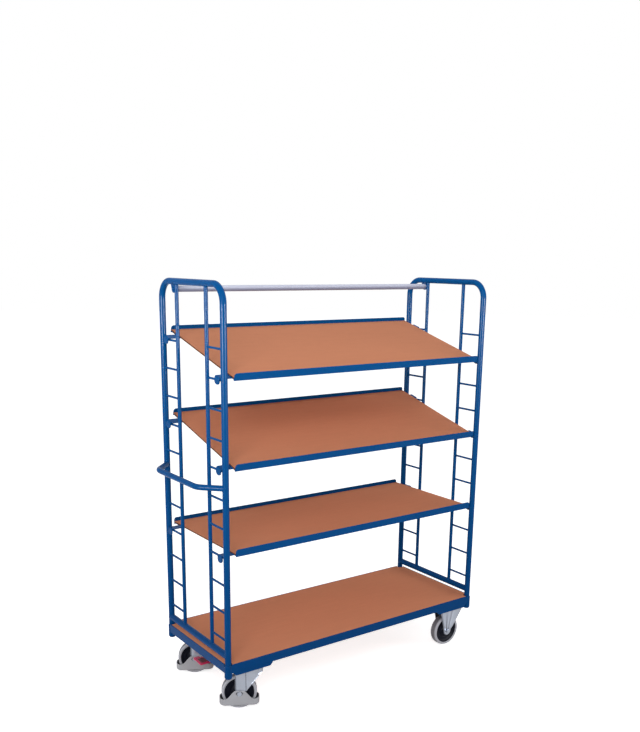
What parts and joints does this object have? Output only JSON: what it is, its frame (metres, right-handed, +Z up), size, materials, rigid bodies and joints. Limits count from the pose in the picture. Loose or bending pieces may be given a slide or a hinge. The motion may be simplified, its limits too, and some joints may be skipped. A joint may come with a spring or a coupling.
{
  "type": "shelf trolley",
  "caption": "Tall shelf trolley: wheeled base with a boarded deck, ladder end frames of bent tube, hook-on lipped shelves that hang level or tilted, and a push handle.",
  "frame": {"origin": "middle of the footprint, on the floor", "axes": "+X along the trolley, away from the push handle; +Y to the rear, where the tilted shelves are high; +Z up"},
  "size_m": [1.5576, 0.5945, 1.8865],
  "materials": {
    "blue_paint": "glossy powder coat",
    "shelf_board": "beech-coloured faced board",
    "deck_board": "beech-coloured faced board",
    "brace_grey": "light grey gloss",
    "zinc_steel": "zinc plated",
    "bearing_steel": "ground",
    "guard_plastic": "fine grained",
    "tread_grey": "matt non-marking",
    "hub_dark": "satin",
    "pedal_red": "gloss"
  },
  "bodies": {
    "frame": {"front_rail": "blue_paint", "rear_rail": "blue_paint", "left_rail": "blue_paint", "right_rail": "blue_paint", "cross_members": "blue_paint", "corner_sleeves": "blue_paint", "caster_shoes": "blue_paint", "caster_bolts": "zinc_steel", "deck_panel": "deck_board", "left_hoop": "blue_paint", "right_hoop": "blue_paint", "left_inner_tubes": "blue_paint", "right_inner_tubes": "blue_paint", "left_cross_rail": "blue_paint", "right_cross_rail": "blue_paint", "left_rungs": "blue_paint", "right_rungs": "blue_paint", "push_handle": "blue_paint", "brace_tube": "brace_grey", "brace_brackets": "blue_paint", "brace_bolts": "blue_paint", "swivel_head_front": "zinc_steel", "swivel_head_rear": "zinc_steel", "fixed_fork_front": "zinc_steel", "fixed_fork_rear": "zinc_steel", "fixed_axle_front": "zinc_steel", "fixed_axle_rear": "zinc_steel"},
    "swivel_front": {"swivel_fork_front": "zinc_steel", "wheel_guard_front": "guard_plastic", "swivel_axle_front": "zinc_steel"},
    "swivel_wheel_front": {"swivel_tyre_front": "tread_grey", "swivel_hub_front": "hub_dark", "swivel_bearings_front": "bearing_steel"},
    "fixed_wheel_front": {"fixed_tyre_front": "tread_grey", "fixed_hub_front": "hub_dark", "fixed_bearings_front": "bearing_steel"},
    "swivel_rear": {"swivel_fork_rear": "zinc_steel", "wheel_guard_rear": "guard_plastic", "swivel_axle_rear": "zinc_steel"},
    "pedal_rear": {"brake_pedal_rear": "pedal_red"},
    "swivel_wheel_rear": {"swivel_tyre_rear": "tread_grey", "swivel_hub_rear": "hub_dark", "swivel_bearings_rear": "bearing_steel"},
    "fixed_wheel_rear": {"fixed_tyre_rear": "tread_grey", "fixed_hub_rear": "hub_dark", "fixed_bearings_rear": "bearing_steel"},
    "top_shelf": {"top_shelf_panel": "shelf_board", "top_shelf_front_lip": "blue_paint", "top_shelf_rear_lip": "blue_paint", "top_shelf_hooks": "blue_paint"},
    "middle_shelf": {"middle_shelf_panel": "shelf_board", "middle_shelf_front_lip": "blue_paint", "middle_shelf_rear_lip": "blue_paint", "middle_shelf_hooks": "blue_paint"},
    "lower_shelf": {"lower_shelf_panel": "shelf_board", "lower_shelf_front_lip": "blue_paint", "lower_shelf_rear_lip": "blue_paint", "lower_shelf_hooks": "blue_paint"}
  },
  "joints": [
    {"name": "swivel_front_turn", "type": "hinge", "parent": "frame", "child": "swivel_front", "pos_m": [-0.53325, -0.22375, 0.2097], "axis": [0, 0, 1], "continuous": true},
    {"name": "swivel_wheel_front_spin", "type": "hinge", "parent": "swivel_front", "child": "swivel_wheel_front", "pos_m": [-0.57655, -0.19875, 0.08], "axis": [0.5, 0.866, 0], "continuous": true},
    {"name": "fixed_wheel_front_spin", "type": "hinge", "parent": "frame", "child": "fixed_wheel_front", "pos_m": [0.66175, -0.22375, 0.08], "axis": [0, 1, 0], "continuous": true},
    {"name": "swivel_rear_turn", "type": "hinge", "parent": "frame", "child": "swivel_rear", "pos_m": [-0.53325, 0.20025, 0.2097], "axis": [0, 0, 1], "continuous": true},
    {"name": "swivel_wheel_rear_spin", "type": "hinge", "parent": "swivel_rear", "child": "swivel_wheel_rear", "pos_m": [-0.57655, 0.22525, 0.08], "axis": [0.5, 0.866, 0], "continuous": true},
    {"name": "fixed_wheel_rear_spin", "type": "hinge", "parent": "frame", "child": "fixed_wheel_rear", "pos_m": [0.66175, 0.20025, 0.08], "axis": [0, 1, 0], "continuous": true},
    {"name": "pedal_rear_press", "type": "hinge", "parent": "swivel_rear", "child": "pedal_rear", "pos_m": [-0.57211, 0.16495, 0.096], "axis": [1, 0, 0], "range_deg": [0, 14]},
    {"name": "top_shelf_lift", "type": "slide", "parent": "frame", "child": "top_shelf", "axis": [0, 0, 1], "range_m": [0, 0.05]},
    {"name": "middle_shelf_lift", "type": "slide", "parent": "frame", "child": "middle_shelf", "axis": [0, 0, 1], "range_m": [0, 0.05]},
    {"name": "lower_shelf_lift", "type": "slide", "parent": "frame", "child": "lower_shelf", "axis": [0, 0, 1], "range_m": [0, 0.05]}
  ]
}
